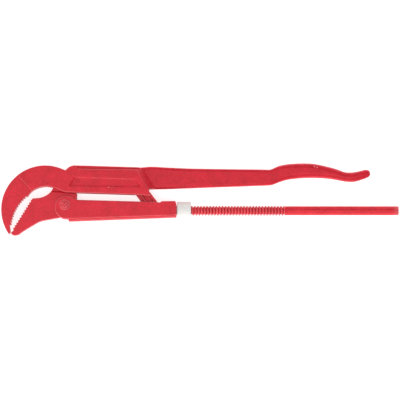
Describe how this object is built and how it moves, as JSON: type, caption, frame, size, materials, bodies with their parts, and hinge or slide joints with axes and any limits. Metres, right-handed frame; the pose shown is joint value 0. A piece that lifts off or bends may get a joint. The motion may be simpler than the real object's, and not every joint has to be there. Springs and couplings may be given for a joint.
{
  "type": "pipe wrench",
  "caption": "Pipe wrench with a hooked upper jaw, a slotted box, a sliding lower jaw in a channel leg, and a threaded rod with an adjusting nut as the lower handle.",
  "frame": {"origin": "under the middle of the outline, on the side face that the tool rests on", "axes": "+X from the jaws to the rod's free end, +Y from the rod towards the upper handle, +Z through the thickness"},
  "size_m": [0.42, 0.0766, 0.025],
  "materials": {
    "red_enamel": "slightly mottled semi-gloss enamel on forged steel",
    "pale_nut": "pale matte plated steel",
    "bare_steel": "turned steel"
  },
  "bodies": {
    "handle": {"upper_handle": "red_enamel"},
    "link": {"link": "red_enamel", "spindle_pin": "red_enamel", "link_guide_pin": "bare_steel"},
    "spindle": {"spindle": "red_enamel"},
    "shell": {"lower_shell": "red_enamel", "pivot_rivet": "red_enamel"},
    "jaw": {"lower_jaw": "red_enamel"},
    "nut": {"adjusting_nut": "pale_nut"}
  },
  "joints": [
    {"name": "link_slide", "type": "slide", "parent": "handle", "child": "link", "axis": [0.6101, -0.7923, 0], "range_m": [0, 0.0108]},
    {"name": "handle_swing", "type": "hinge", "parent": "link", "child": "spindle", "pos_m": [-0.0465, -0.0118, 0.0125], "axis": [0, 0, -1], "range_deg": [0, 5]},
    {"name": "jaw_adjust", "type": "slide", "parent": "spindle", "child": "shell", "axis": [1, 0, 0], "range_m": [0, 0.052]},
    {"name": "nut_spin", "type": "hinge", "parent": "shell", "child": "nut", "pos_m": [-0.0169, -0.0118, 0.0125], "axis": [1, 0, 0], "range_deg": [0, 5762]},
    {"name": "jaw_pivot", "type": "hinge", "parent": "shell", "child": "jaw", "pos_m": [-0.1429, -0.0057, 0.0125], "axis": [0, 0, 1], "range_deg": [0, 5.1]}
  ],
  "couplings": [
    {"joint": "link_slide", "follows": "handle_swing", "m_per_rad": 0.12167},
    {"joint": "jaw_pivot", "follows": "handle_swing", "ratio": 1},
    {"joint": "nut_spin", "follows": "jaw_adjust", "rad_per_m": 1933.3}
  ]
}
